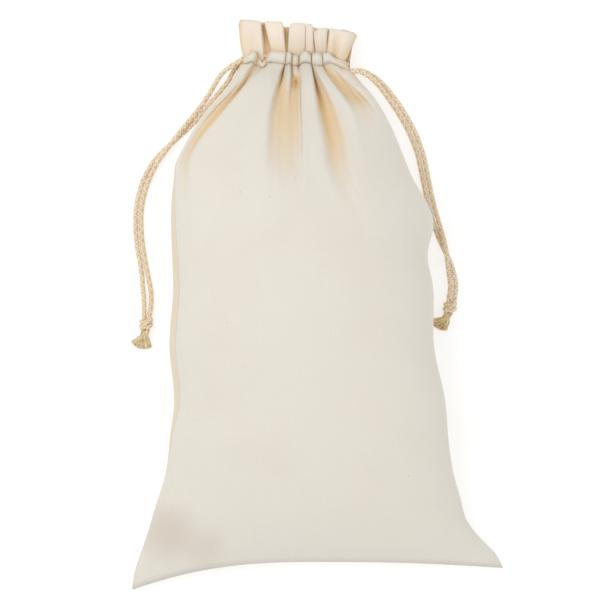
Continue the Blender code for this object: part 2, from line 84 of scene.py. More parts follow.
# Sizes of the finer cloth and fibres, which differ from the solids' or which the solids don't have
FLAT_LENGTH = 460 * MM
CLOTH = 0.9 * MM
FRONT_FOLD_HEIGHT = 8.5 * MM
CASING_LEVEL = 10.4 * MM
STITCH_OFFSET = 5.2 * MM  # casing's middle to each stitched line
THREAD_SPACING = 0.42  # millimetres between the weave's threads
FIBRE_COUNT = 420
FIBRE_STEPS = 8
TASSEL_FAN = 33  # degrees to each side

SECTION_COLUMNS = (
    "along", "left", "right", "top", "bottom",
    "left_seam", "right_seam", "inset", "front_power", "back_power",
)
SECTIONS = (
    (0.000, -0.482, 0.482, 0.21, 0.21, 0.045, 0.045, 0.000, 1.30, 1.30),
    (0.024, -0.476, 0.465, 0.35, 0.09, 0.060, 0.060, 0.000, 1.35, 1.20),
    (0.054, -0.459, 0.423, 0.46, 0.00, 0.100, 0.100, 0.000, 1.25, 1.00),
    (0.088, -0.439, 0.387, 0.55, -0.05, 0.160, 0.160, 0.000, 1.15, 0.85),
    (0.128, -0.420, 0.371, 0.63, -0.08, 0.220, 0.210, 0.000, 1.05, 0.75),
    (0.184, -0.394, 0.350, 0.72, -0.10, 0.310, 0.270, 0.003, 0.95, 0.65),
    (0.254, -0.381, 0.337, 0.81, -0.10, 0.400, 0.320, 0.008, 0.90, 0.60),
    (0.314, -0.369, 0.331, 0.87, -0.10, 0.450, 0.345, 0.014, 0.85, 0.55),
    (0.434, -0.380, 0.300, 0.95, -0.10, 0.500, 0.360, 0.016, 0.80, 0.55),
    (0.555, -0.370, 0.297, 0.99, -0.10, 0.520, 0.360, 0.016, 0.80, 0.55),
    (0.615, -0.373, 0.283, 1.00, -0.10, 0.520, 0.355, 0.015, 0.80, 0.55),
    (0.687, -0.377, 0.298, 0.99, -0.10, 0.500, 0.345, 0.012, 0.80, 0.55),
    (0.725, -0.376, 0.280, 0.96, -0.10, 0.480, 0.330, 0.010, 0.78, 0.55),
    (0.765, -0.372, 0.250, 0.91, -0.09, 0.440, 0.310, 0.006, 0.76, 0.55),
    (0.805, -0.366, 0.229, 0.83, -0.08, 0.390, 0.280, 0.003, 0.72, 0.52),
    (0.841, -0.342, 0.212, 0.74, -0.06, 0.330, 0.250, 0.000, 0.68, 0.50),
    (0.877, -0.317, 0.195, 0.65, -0.05, 0.280, 0.220, 0.000, 0.62, 0.48),
    (0.909, -0.290, 0.177, 0.56, -0.04, 0.230, 0.195, 0.000, 0.56, 0.45),
    (0.941, -0.256, 0.154, 0.47, -0.02, 0.190, 0.175, 0.000, 0.48, 0.40),
    (0.969, -0.224, 0.127, 0.39, 0.00, 0.165, 0.162, 0.000, 0.40, 0.35),
    (0.985, -0.210, 0.106, 0.34, 0.010, 0.158, 0.158, 0.000, 0.36, 0.32),
    (1.000, -0.194, 0.084, 0.31, 0.020, 0.158, 0.158, 0.000, 0.34, 0.30),
)

# The front's fold lines from left to right, each a row. Every pair is where the line crosses a level, in
# pixels of the photograph, and how deep it lies there: 0 on a ridge and 1 in a valley. The first two levels
# are the header's top edge and its foot behind the casing, the next two the casing's upper and lower
# stitches, and the rest are in the body, at the shares of its length in BODY_LEVELS. HEADER_TOP, CASING_TOP
# and CASING_FOOT hold the same lines' heights in the photograph, in pixels.
# The same depths also set the painted shade in the folds.
BODY_LEVELS = (0.983, 0.965, 0.945, 0.915, 0.845, 0.755)
NECK_FOLDS = (
    ((239.9, 1), (243.6, 1), (243.6, 1), (242.6, 1)),
    ((245, 0.15), (246.8, 0.45), (246.6, 0.35), (246.2, 0.25)),
    ((252, 0), (252, 0.35), (254.8, 0), (252, 0)),
    ((256, 0), (257.4, 0.2), (257.8, 0.8), (256.2, 0.95)),
    ((259.4, 0.03), (262.5, 0.12), (262.5, 0.2), (262.3, 0.4)),
    ((261.2, 1), (267, 1), (267.3, 0.9), (266.6, 0.5)),
    ((264.9, 1), (271, 1), (270.6, 0.25), (269.5, 0.05)),
    ((266.1, 0.05), (272.8, 0.1), (273.5, 0), (272.5, 0)),
    ((281.3, 0), (284.3, 0.1), (284.4, 0), (283, 0)),
    ((283.6, 1), (285.6, 1), (285.8, 0.9), (285.3, 0.9)),
    ((289.4, 1), (288, 1), (287.2, 0.3), (287, 0.2)),
    ((290.6, 0.05), (289.2, 0.15), (289.2, 0), (289, 0)),
    ((293.5, 0), (292, 0.15), (291.6, 0.75), (291.5, 0.8)),
    ((299, 0), (297, 0.12), (295.5, 0.1), (295, 0.25)),
    ((304.4, 0.02), (303.4, 0.25), (300.2, 0.8), (298.6, 1)),
    ((305.8, 1), (305, 1.2), (302.4, 0.1), (301.8, 0.1)),
    ((307, 0.05), (307, 0.2), (306, 0), (305.8, 0)),
    ((311.8, 0.05), (311.5, 0.25), (309.4, 0.2), (309.4, 0.1)),
    ((312.8, 1), (315.9, 0.9), (311.3, 0.95), (311.6, 1.1)),
    ((314.6, 0.25), (317.6, 0.15), (313.8, 0.15), (314, 0.1)),
    ((320, 0), (321, 0.1), (317.5, 0), (317.5, 0)),
    ((325.4, 0.05), (324.2, 0.3), (320.6, 0.15), (320.9, 0.1)),
    ((328.5, 0.7), (326.4, 0.85), (322.2, 0.9), (322.6, 0.95)),
    ((331.6, 0.05), (329, 0.2), (324.3, 0.1), (324.6, 0.2)),
    ((338, 0), (333.8, 1), (328, 0), (329, 0)),
    ((347, 0), (338, 0.4), (333.2, 0.3), (336, 0.15)),
    ((352.5, 0.1), (342, 0.5), (340, 0.5), (343.5, 0.3)),
    ((356.3, 1), (344.3, 1), (346, 1), (350.5, 1)),
)
HEADER_TOP = (
    20.2, 20.8, 21.5, 22, 22.5, 23.5, 23.5, 22.8, 23.2, 28, 28, 25.5, 24.3, 24.2,
    24.7, 26.5, 24.9, 25.7, 29, 32.2, 29.7, 29.2, 29.8, 29.8, 30.8, 32.5, 33.8, 34.9,
)
CASING_TOP = (
    57.5, 57, 51.7, 56.5, 63.5, 57, 52, 51.3, 52.5, 53, 52.6, 52.6, 54.2, 55.5,
    56.5, 53.3, 51.5, 53.8, 56.3, 53.9, 52.7, 53.6, 54.8, 53.2, 53, 57.5, 61, 63,
)
CASING_FOOT = (
    62, 62.3, 60.5, 63, 66.5, 63, 61, 61, 62.7, 63.6, 63.2, 62.5, 63.5, 64.5,
    64.5, 62, 61, 62, 64.3, 63.8, 64.6, 64.6, 64.2, 63, 61.5, 63.5, 67, 71,
)
BODY_FOLDS = (
    ((237.5, 0.4), (232, 0.1), (225, 0), (210, 0), (188, 0), (174, 0)),
    ((241, 0.1), (235, 0.1), (227, 0.15), (212.5, 0.2), (190, 0.2), (176, 0)),
    ((245, 0.05), (239, 0.35), (230.5, 0.6), (216.5, 0.75), (192.5, 0.6), (179.5, 0.1)),
    ((251.5, 1), (245.8, 1.1), (238, 1.15), (225.5, 1.15), (198.5, 0.95), (185, 0.2)),
    ((255.5, 0.1), (250, 0.05), (242.5, 0), (231, 0), (203.5, 0), (191, 0)),
    ((263, 0.05), (260, 0), (256, 0), (246, 0), (225, 0), (218, 0)),
    ((268, 0), (266.5, 0), (262, 0), (254, 0), (237, 0), (231, 0)),
    ((272, 0), (271, 0), (267, 0), (260, 0), (247, 0), (243, 0)),
    ((278.5, 0.05), (275.5, 0.15), (272.5, 0.1), (268.5, 0.05), (264, 0), (266, 0)),
    ((283.3, 1.4), (281, 1.2), (278, 1), (275.5, 0.85), (274.5, 0.6), (277, 0.05)),
    ((286, 0.3), (285.2, 0.55), (283, 0.85), (281.5, 0.9), (281, 0.7), (284, 0.1)),
    ((288.7, 0), (288.4, 0.25), (288, 0.6), (287, 0.8), (287.5, 0.65), (291, 0.1)),
    ((291.4, 0.95), (291.5, 1.1), (291.4, 0.95), (291.5, 0.9), (292.5, 0.65), (296, 0.08)),
    ((295.8, 0.25), (296.4, 1.3), (296.3, 1), (297, 0.85), (298, 0.5), (301, 0.05)),
    ((299.6, 0.5), (300, 0.95), (300.6, 0.65), (301.2, 0.45), (302.5, 0.25), (305.5, 0)),
    ((302.6, 0.1), (302.9, 0.2), (303.2, 0.15), (303.5, 0.08), (304.5, 0), (309, 0)),
    ((306, 0), (306.5, 0), (307, 0), (307.5, 0), (309.5, 0), (314, 0)),
    ((310.4, 0.05), (311.6, 0), (312.8, 0), (314.3, 0), (319.5, 0), (326, 0)),
    ((312.4, 1.5), (314.6, 1.5), (317.2, 1.45), (321, 1.3), (331, 1), (340.5, 0.3)),
    ((315.4, 0.5), (319.2, 0.75), (323.8, 0.85), (329.5, 0.9), (340, 0.75), (349, 0.15)),
    ((319.5, 0), (325, 0.05), (331, 0.12), (337.5, 0.2), (348.5, 0.15), (359, 0)),
    ((324, 0.05), (330.8, 0), (339, 0), (349, 0), (358.5, 0), (369, 0)),
    ((326.3, 0.95), (334, 0.95), (343.5, 0.95), (354, 0.4), (365, 0.05), (376, 0)),
    ((330, 0.8), (339.2, 0.95), (349, 0.95), (360, 0.4), (371, 0.05), (383, 0)),
    ((335.5, 0.5), (345.5, 0.85), (356, 1), (366.5, 0.4), (377.5, 0), (390.5, 0)),
    ((341.5, 0.15), (352, 0.5), (363, 0.7), (373, 0.2), (384, 0), (399, 0)),
    ((347, 0.1), (359, 0.1), (369, 0.1), (378, 0), (390, 0), (407, 0)),
    ((352, 0.4), (367, 0.1), (376, 0), (384, 0), (397, 0), (416, 0)),
)
# The rolled hem at the casing's right end: x and y in pixels of the photograph, and height in millimetres
SLIT_EDGE = (
    (333.4, 58.6, 31.0),
    (337.0, 59.6, 32.0),
    (341.0, 61.6, 31.0),
    (345.5, 65.2, 29.0),
    (350.0, 70.4, 25.0),
)
SLIT_EDGE_RADIUS = 1.25 * MM
# Top edge of the back's header in pixels: it shows in the front's valleys and beside its right corner
BACK_HEADER_TOP = (
    (238, 24), (262, 24.8), (275, 26), (287, 28.2), (305, 27.2), (316, 27.9), (330, 30.6), (339, 31),
    (343.5, 29.2), (355, 33.6), (360, 36),
)
BODY_FOLD_GROWTH = 1.25  # the folds are deeper below the casing than at it
EVEN_SHARE_AT = 0.60  # share of the body's length below which no fold line reaches
CASING_STEPS = 14
HEADER_STEPS = 16
STITCHED_FOLD = 0.62  # how much of the fold's height is left where the casing is stitched
HEADER_FOOT_FOLD = 0.42
HEADER_TOP_FOLD = 1.12
# Painted shade at the header's foot, where it tucks behind the casing
HEADER_FOOT_SHADE = 0.6
INNER_ROWS = (0.88, 0.5, 0.12)  # shares of the casing's width, on the layer inside it
INNER_WIDTH = 0.8  # the inner layer stops short of the slits
MEETING_START = 0.94  # share of the body length from which the body runs into the casing
SIDE_MEETING_START = 0.978  # and at the side seams, which stop there to leave the cords' slits
SIDE_MEETING_WIDTH = 0.12  # share of the panel's width over which one start changes into the other
BODY_SHARE = 0.843  # share of the cloth's length below the casing
CASING_SHARE = 0.024
HEADER_SHARE = 0.045
HEM_SHARE = 0.96  # place of the layer that is folded inside
# Painted shade along the casing's stitched lines and the rows beside them, given as fold depth for the tan
CREASE_SHADE = (0.45, 0.12)  # how warm the stitched lines are, and the rows beside them
HEADER_FOOT_GAP = 0.4  # pixels between the casing's upper stitch and the header's foot
STEPS_PER_FOLD = 7
BACK_FOLD_COUNT = 5
BACK_STEPS = 14
FRONT_BODY_ROWS = (58, 86)  # steps below and above FOLDED_FROM
BACK_BODY_ROWS = (50, 44)
FOLDED_FROM = 0.76  # share of the body's length
BODY_ROWS_END = 0.997
BACK_BULGE = 1.4  # how far the back shows past the inset seam at the left, as a share of the inset
BACK_BULGE_AT = 0.06  # share of the back's width

# Shallow dents in the front: x, y, half width and half height in pixels of the photograph, depth in
# millimetres and lean in degrees
DENTS = (
    (212, 550, 26, 9, 2.2, 28),
    (470, 552, 22, 8, 2.4, -18),
    (181, 386, 9, 7, 2.6, 0),
    (300, 540, 70, 12, 1.2, 3),
    (250, 410, 60, 26, 0.9, 20),
    (392, 300, 34, 70, 0.9, 0),
)

ROUTE_COLUMNS = ("x", "y", "z", "apart", "turn")
LEFT_ROUTE = (
    (-58.1, 192.7, 18, 16, 90),
    (-65.1, 187, 17, 14.5, 100),
    (-71.6, 179.6, 13.5, 11, 130),
    (-79.6, 168.6, 8.5, 6.4, 160),
    (-88.2, 156.7, 4.5, 4.5, 172),
    (-102.6, 139.8, 2, 4.3, 135),
    (-115, 126.5, 2, 4.3, 90),
    (-127.5, 111.7, 2, 4.3, 45),
    (-136.1, 93.8, 2, 4.3, 8),
    (-140, 77.4, 2, 4.3, 0),
    (-140.6, 61.8, 2, 4.3, 0),
    (-139.2, 45.4, 2, 4.3, 0),
    (-136.4, 29, 2, 4.3, 0),
    (-134.4, 15.9, 2.2, 5.6, 0),
    (-133.4, 5.7, 3.2, 6.4, 0),
    (-133.2, -1.3, 4.6, 4.6, 0),
    (-133.8, -7.7, 5.1, 4.3, 0),
)
RIGHT_ROUTE = (
    (25.3, 183.6, 18, 16, 90),
    (32, 183.6, 17.5, 14.5, 94),
    (39.8, 180.5, 15, 11, 100),
    (48.8, 173.5, 10.5, 8, 112),
    (57.3, 163.2, 6.5, 5.4, 138),
    (65.9, 150.7, 3.4, 4.4, 165),
    (73.7, 136.7, 2, 4.3, 180),
    (80.4, 119.5, 2, 4.3, 180),
    (84.8, 99.2, 2, 4.3, 180),
    (88.4, 82.1, 2, 4.3, 180),
    (92.6, 66.5, 2, 4.3, 185),
    (97.1, 52.4, 2, 4.3, 220),
    (101.4, 39.9, 2, 4.3, 270),
    (104.6, 27.5, 2, 4.3, 325),
    (106.4, 16.5, 3.4, 4.3, 355),
    (106.6, 10.6, 4.8, 4.3, 360),
    (105.4, 5.3, 5.1, 4.3, 360),
)
CORD_STEP = 10.5 * MM
BRAID_CARRIERS = 4  # yarns that wind each way
BRAID_PITCH = 3.0  # one turn of a yarn, in diameters
BRAID_YARN = 0.34  # radius of a yarn as a share of the cord's
CASING_CORD_POINTS = 14  # along each straight run through the casing
CASING_TURN_STEPS = 12
WRAP_STEPS = 36
WRAP_TURNS = 1.9
# name, route, side it leaves on, lane across the casing, headings of its knot and tassel in degrees from +X
CORDS = (
    ("left", LEFT_ROUTE, -1, CORD_SPACING / 2, -96.0, -106.0),
    ("right", RIGHT_ROUTE, 1, -CORD_SPACING / 2, -103.0, -132.0),
)

# Colours, linear
CREAM = (0.785, 0.745, 0.668)
# Tan painted deep into the folds as shade
FOLD_SHADE_TAN = (0.80, 0.56, 0.27)
HEADER_CREAM = (0.90, 0.80, 0.68)
# The back is the same cotton as the front, painted darker and more yellow as shade where it shows past the
# left seam and in the front's valleys
BACK_SHADE_CREAM = (0.78, 0.675, 0.52)
BLUSH = (0.75, 0.685, 0.61)
# The cords' dark colour is painted shade in the braid's core and where its yarns pass under
CORD_LIGHT = (0.92, 0.80, 0.62)
CORD_DARK = (0.60, 0.42, 0.24)
TASSEL_LIGHT = (0.95, 0.82, 0.56)
TASSEL_DARK = (0.58, 0.40, 0.16)
# Colour of the darker patches at the lower left corner
DARK_PATCH = (0.69, 0.62, 0.545)
FLECK = (0.42, 0.33, 0.24)

# Darker patches at the lower left corner and flecks on the front in the photograph: x, y and radius in
# pixels, and strength
DARK_PATCHES = ((168, 533, 40, 0.9), (205, 548, 30, 0.5))
FLECKS = (
    (241, 193, 1.0, 0.60),
    (270, 198, 1.1, 0.65),
    (296, 179, 0.9, 0.45),
    (228, 322, 1.0, 0.50),
    (408, 475, 1.0, 0.50),
)


def photo_point(px, py):
    """Place in plan, in metres, of a pixel of the 612 x 612 photograph."""
    return (px - ORIGIN_PX) * PIXEL, (ORIGIN_PY - py) * PIXEL


def ease(value):
    value = np.clip(value, 0.0, 1.0)
    return value * value * (3 - 2 * value)


def mix(first, second, share):
    return first + (second - first) * share


def smooth_at(places, values, place):
    """Value on a smooth curve through rows of values, which may be numbers or whole arrays."""
    places = np.asarray(places, dtype=float)
    values = np.asarray(values, dtype=float)
    slopes = np.gradient(values, places, axis=0)
    index = int(np.clip(np.searchsorted(places, place) - 1, 0, len(places) - 2))
    width = places[index + 1] - places[index]
    share = min(1.0, max(0.0, (place - places[index]) / width))
    rise = values[index + 1] - values[index]
    start, end = slopes[index] * width, slopes[index + 1] * width
    return values[index] + share * (
        start + share * (3 * rise - 2 * start - end + share * (start + end - 2 * rise))
    )


def section(along):
    """The body's section there, as a dictionary of the table's columns."""
    values = smooth_at([row[0] for row in SECTIONS], SECTIONS, along)
    return dict(zip(SECTION_COLUMNS, values))


def casing_line(across):
    return -CASING_ARCH * across**2 - CASING_TILT * across


def between_folds(values, steps):
    """Values at the folds carried to the columns between them, rounded over ridges and into valleys."""
    values = np.asarray(values, dtype=float)
    shares = np.arange(steps) / steps
    out = [mix(a, b, ease(shares)) for a, b in zip(values, values[1:])]
    return np.concatenate([*out, values[-1:]])


def spread(values, steps):
    """Values at the folds carried evenly to the columns between them."""
    values = np.asarray(values, dtype=float)
    places = np.arange((len(values) - 1) * steps + 1) / steps
    return np.interp(places, np.arange(len(values)), values)


class FrontColumns:
    """The front's grid columns: place and fold depth on each level of the photograph."""

    def __init__(self):
        steps = STEPS_PER_FOLD
        self.even = np.linspace(0.0, 1.0, (len(NECK_FOLDS) - 1) * steps + 1)
        self.lines = {}
        case_x = [row[2][0] for row in NECK_FOLDS]
        foot_y = np.interp([row[1][0] for row in NECK_FOLDS], case_x, CASING_TOP) - HEADER_FOOT_GAP
        heights = (
            ("header", 0, HEADER_TOP),
            ("foot", 1, foot_y),
            ("upper", 2, CASING_TOP),
            ("lower", 3, CASING_FOOT),
        )
        for name, level, tops in heights:
            x, y = photo_point(np.array([row[level][0] for row in NECK_FOLDS]), np.array(tops))
            depth = between_folds([row[level][1] for row in NECK_FOLDS], steps)
            self.lines[name] = (spread(x, steps), spread(y, steps), depth)
        shares, depths = [], []
        for level, along in enumerate(BODY_LEVELS):
            edges = section(along)
            left, right = edges["left"] * FLAT_WIDTH, edges["right"] * FLAT_WIDTH
            x, _ = photo_point(np.array([row[level][0] for row in BODY_FOLDS]), 0.0)
            share = (x - left) / (right - left)
            share[0], share[-1] = 0.0, 1.0
            shares.append(spread(share, steps))
            depths.append(between_folds([row[level][1] for row in BODY_FOLDS], steps))
        lower = self.lines["lower"]
        shares.insert(0, (lower[0] - lower[0][0]) / (lower[0][-1] - lower[0][0]))
        depths.insert(0, lower[2])
        self.places = [EVEN_SHARE_AT, *reversed(BODY_LEVELS), 1.0]
        even_share = (1 + np.sin((2 * self.even - 1) * math.pi / 2)) / 2
        self.shares = np.array([even_share, *reversed(shares)])
        self.depths = np.array([np.zeros_like(self.even), *reversed(depths)])

    def share(self, along):
        if along <= EVEN_SHARE_AT:
            return self.shares[0]
        share = smooth_at(self.places, self.shares, along)
        return (share - share[0]) / (share[-1] - share[0])

    def depth(self, along):
        if along <= EVEN_SHARE_AT:
            return self.depths[0]
        return np.maximum(0.0, smooth_at(self.places, self.depths, along))


class BackColumns:
    """The back's plain, even gathers."""

    def __init__(self):
        count = 2 * BACK_FOLD_COUNT * BACK_STEPS + 1
        self.even = np.linspace(0.0, 1.0, count)
        wave = (1 + np.cos(2 * math.pi * self.even * BACK_FOLD_COUNT)) / 2
        self.wave = wave
        x = NECK_X + (2 * self.even - 1) * NECK_WIDTH / 2
        top = NECK_X + (2 * self.even - 1) * HEADER_WIDTH / 2
        middle = NECK_Y + casing_line(2 * self.even - 1)
        px = top / PIXEL + ORIGIN_PX
        _, head = photo_point(px, np.interp(px, *zip(*BACK_HEADER_TOP)))
        upper = (x, middle + STITCH_OFFSET, wave)
        self.lines = {
            "lower": (x, middle - STITCH_OFFSET, wave),
            "upper": upper,
            "foot": upper,
            "header": (top, head, wave),
        }

    def share(self, along):
        low = (1 + np.sin((2 * self.even - 1) * math.pi / 2)) / 2
        return mix(low, self.even, ease((along - 0.8) / 0.2))

    def depth(self, along):
        return self.wave * float(ease((along - 0.88) / 0.12))


def roughly(x, y, z, scale, seed):
    """Smooth noise in -1 to 1 at points in metres, where scale is the size of its bumps."""
    points = np.stack([x, y, np.full_like(x, z)], axis=-1).reshape(-1, 3) / scale
    values = [noise.noise(Vector((p[0] + seed, p[1], p[2] - seed))) for p in points]
    return np.array(values).reshape(x.shape)


def body_row(columns, along, side):
    """Points of a panel's inner face across one row, and how deep each lies in a fold."""
    row = section(along)
    share = columns.share(along)
    left = (row["left"] + row["inset"]) * FLAT_WIDTH
    right = row["right"] * FLAT_WIDTH
    x = mix(left, right, share)
    across = 2 * share - 1
    if side < 0:
        bulge = columns.even / BACK_BULGE_AT * np.exp(1 - columns.even / BACK_BULGE_AT)
        x = x - BACK_BULGE * row["inset"] * FLAT_WIDTH * bulge
    corner = max(0.0, 1 - along / CORNER_FADE) ** 2
    drop = np.where(across < 0, CORNER_DROP_LEFT, CORNER_DROP_RIGHT)
    neck = float(ease((along - 0.7) / 0.3))
    y = NECK_Y - STITCH_OFFSET - BODY_LENGTH * (1 - along) + np.zeros_like(x)
    y = y + neck * casing_line(across) - corner * drop * np.abs(across) ** 2.5
    chord = mix(row["left_seam"], row["right_seam"], share) * FILLED_HEIGHT
    middle = (row["left_seam"] + row["right_seam"]) / 2 * FILLED_HEIGHT
    wall = np.sqrt(np.clip(1 - across**2, 0.0, 1.0))
    depth = columns.depth(along)
    growth = mix(1.0, BODY_FOLD_GROWTH, float(ease((1 - along) / 0.05)))
    if side > 0:
        arc = wall ** row["front_power"]
        z = chord + (row["top"] * FILLED_HEIGHT - middle) * arc
        z = z - growth * depth * FRONT_FOLD_HEIGHT * arc**0.5 + SEAM_GAP / 2
    else:
        arc = wall ** row["back_power"]
        z = chord + (row["bottom"] * FILLED_HEIGHT - middle) * arc
        z = np.maximum(z + depth * BACK_FOLD_HEIGHT * arc - SEAM_GAP / 2, CLOTH)
    return np.stack([x, y, z], axis=-1), depth


def swell(points, side, along, even):
    """Soft lumps of the contents, and small puckers along the side seams."""
    x, y = points[:, 0], points[:, 1]
    inside = np.sin(np.pi * even) ** 0.6 * float(ease(along / 0.1) * ease((1 - along) / 0.08))
    broad = 1.5 * MM * roughly(x, y, 0.0, 75 * MM, 3.1 * side)
    lumps = broad + 0.7 * MM * roughly(x, y, 0.0, 26 * MM, 9.7)
    from_seam = np.minimum(even, 1 - even)
    near_seam = np.exp(-from_seam / 0.045) - np.exp(-from_seam / 0.012)
    puckers = 0.9 * MM * roughly(np.zeros_like(x), y, 0.02 * side, 9 * MM, 5.5) * near_seam
    fade = float(ease((1 - along) / 0.1))
    moved = side * (lumps * inside + puckers * fade)
    if side < 0:
        free = ease((points[:, 2] - 2 * MM) / (12 * MM))
        moved = moved * free
    points[:, 2] += moved
    return points


def press_dents(points, even):
    """The front's points with its shallow dents, which fade out at the side seams."""
    for px, py, wide, tall, deep, lean in DENTS:
        cx, cy = photo_point(px, py)
        turn = math.radians(lean)
        dx, dy = points[:, 0] - cx, points[:, 1] - cy
        u = (dx * math.cos(turn) + dy * math.sin(turn)) / (wide * PIXEL)
        v = (dy * math.cos(turn) - dx * math.sin(turn)) / (tall * PIXEL)
        points[:, 2] -= deep * MM * np.exp(-(u**2) - v**2) * np.sin(np.pi * even) ** 0.3
    return points


def neck_row(columns, start, end, share, level, fold, side, header):
    """Points across one row between two of the photograph's lines."""
    (x0, y0, d0), (x1, y1, d1) = columns.lines[start], columns.lines[end]
    x, y, depth = mix(x0, x1, share), mix(y0, y1, share), mix(d0, d1, share)
    height = FRONT_FOLD_HEIGHT if side > 0 else BACK_FOLD_HEIGHT
    edge = np.minimum(columns.even, 1 - columns.even)
    low = mix(HEADER_SIDE_LEVEL, level, ease(edge / 0.07)) if header else level
    z = NECK_Z + side * (low + fold * height * (1 - depth))
    return np.stack([x, y, z + np.zeros_like(x)], axis=-1), depth


def casing_bulge(share):
    """0 at the stitched lines, 1 over the cords."""
    return max(0.0, 1 - (2 * share - 1) ** 2) ** 0.42


def body_places(side):
    """Rows of the body, closer together where the folds are."""
    lower, upper = FRONT_BODY_ROWS if side > 0 else BACK_BODY_ROWS
    plain = [FOLDED_FROM * i / lower for i in range(lower)]
    return plain + [mix(FOLDED_FROM, BODY_ROWS_END, i / upper) for i in range(upper + 1)]


def panel_rows(columns, side):
    """Rows up the body, over the header and down inside: points, depth with painted shade at the creases,
    header share, place on the cloth.
    """
    rows = []
    seam, _ = body_row(columns, 1.0, side)
    lower, _ = neck_row(columns, "lower", "upper", 0.0, STITCH_LEVEL, STITCHED_FOLD, side, False)
    edge = np.minimum(columns.even, 1 - columns.even)
    start = mix(SIDE_MEETING_START, MEETING_START, ease(edge / SIDE_MEETING_WIDTH))
    for along in body_places(side):
        points, depth = body_row(columns, along, side)
        points = swell(points, side, along, columns.even)
        if side > 0:
            points = press_dents(points, columns.even)
        points = points + (lower - seam) * ease((along - start) / (1 - start))[:, None]
        rows.append((points, depth, 0.0, along * BODY_SHARE))
    body_count = len(rows)
    for step in range(CASING_STEPS + 1):
        share = step / CASING_STEPS
        bulge = casing_bulge(share)
        level = mix(STITCH_LEVEL, CASING_LEVEL, bulge)
        fold = mix(STITCHED_FOLD, 1.0, bulge)
        points, depth = neck_row(columns, "lower", "upper", share, level, fold, side, False)
        from_stitch = min(step, CASING_STEPS - step)
        # Painted shade in the creases along the stitched lines
        if from_stitch < len(CREASE_SHADE):
            depth = np.maximum(depth, CREASE_SHADE[from_stitch])
        rows.append((points, depth, 0.0, BODY_SHARE + CASING_SHARE * share))
    for step in range(HEADER_STEPS + 1):
        share = step / HEADER_STEPS
        fold = mix(HEADER_FOOT_FOLD, HEADER_TOP_FOLD, ease(share * 1.4))
        points, depth = neck_row(columns, "foot", "header", share, STITCH_LEVEL, fold, side, True)
        if side > 0:
            points[:, 2] += 0.5 * MM * roughly(points[:, 0], points[:, 1], 0.0, 7 * MM, 2.3) * share
            points[:, 0] -= 1.2 * MM * math.sin(math.pi * share) * np.exp(-columns.even / 0.05)
        # Painted shade at the header's foot, fading upwards
        depth = np.maximum(depth, HEADER_FOOT_SHADE - 1.6 * share)
        cloth_share = BODY_SHARE + CASING_SHARE + 0.001 + HEADER_SHARE * share
        rows.append((points, depth, 1.0 if step else 0.5, cloth_share))
    top, depth = rows[-1][0], rows[-1][1]
    rows.append((top + np.array([0.0, 0.45 * MM, -side * LAYER_GAP / 2]), depth, 1.0, HEM_SHARE - 0.01))
    for index in range(HEADER_STEPS, -1, -2):
        points, depth = rows[body_count + CASING_STEPS + 1 + index][:2]
        rows.append((points - np.array([0.0, 0.0, side * LAYER_GAP]), depth, 1.0, HEM_SHARE))
    upper = rows[body_count + CASING_STEPS][0]
    for share in INNER_ROWS:
        flat = mix(lower, upper, share)
        flat[:, 0] = NECK_X + (flat[:, 0] - NECK_X) * INNER_WIDTH
        flat[:, 2] = NECK_Z + side * INNER_LEVEL
        rows.append((flat, depth, 1.0, HEM_SHARE + 0.01))
    rows.append((lower - np.array([0.0, 0.0, side * LAYER_GAP]), depth, 1.0, HEM_SHARE + 0.02))
    return rows, body_count


def grid_mesh(name, rows, columns, side):
    """A panel's mesh, with the cloth's own coordinates in millimetres as its UV map."""
    points = np.array([row[0] for row in rows])
    count, width = points.shape[:2]
    mesh = bpy.data.meshes.new(name)
    index = np.arange(count * width).reshape(count, width)
    corners = [index[:-1, :-1], index[:-1, 1:], index[1:, 1:], index[1:, :-1]]
    quads = np.stack(corners, axis=-1).reshape(-1, 4)
    if side < 0:
        quads = quads[:, ::-1]
    mesh.from_pydata(points.reshape(-1, 3).tolist(), [], quads.tolist())
    depth = np.array([row[1] for row in rows]).reshape(-1)
    header = np.repeat([row[2] for row in rows], width)
    # The depth is stored for the material, which paints it as shade in the folds
    for attribute, values in (("fold_shade", depth), ("header", header)):
        layer = mesh.attributes.new(attribute, "FLOAT", "POINT")
        layer.data.foreach_set("value", values.astype(np.float32))
    cloth = np.zeros((count, width, 2))
    cloth[..., 0] = columns.even[None, :] * FLAT_WIDTH / MM
    cloth[..., 1] = np.array([row[3] for row in rows])[:, None] * FLAT_LENGTH / MM
    loops = np.zeros(len(mesh.loops), dtype=np.int32)
    mesh.loops.foreach_get("vertex_index", loops)
    uv = mesh.uv_layers.new(name="cloth")
    uv.data.foreach_set("uv", cloth.reshape(-1, 2)[loops].astype(np.float32).reshape(-1))
    mesh.shade_smooth()
    return mesh


def add_piece(name, mesh, material, replaced):
    piece = bpy.data.objects.new(name, mesh)
    bpy.context.scene.collection.objects.link(piece)
    piece.data.materials.append(material)
    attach(piece, "root")
    if replaced:
        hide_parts(*replaced)
    return piece


def add_panel(name, columns, side, material, node):
    rows, body_count = panel_rows(columns, side)
    piece = add_piece(name, grid_mesh(name, rows, columns, side), material, [node])
    thick = piece.modifiers.new("cloth", "SOLIDIFY")
    thick.thickness = CLOTH
    thick.offset = 1.0
    return rows, body_count


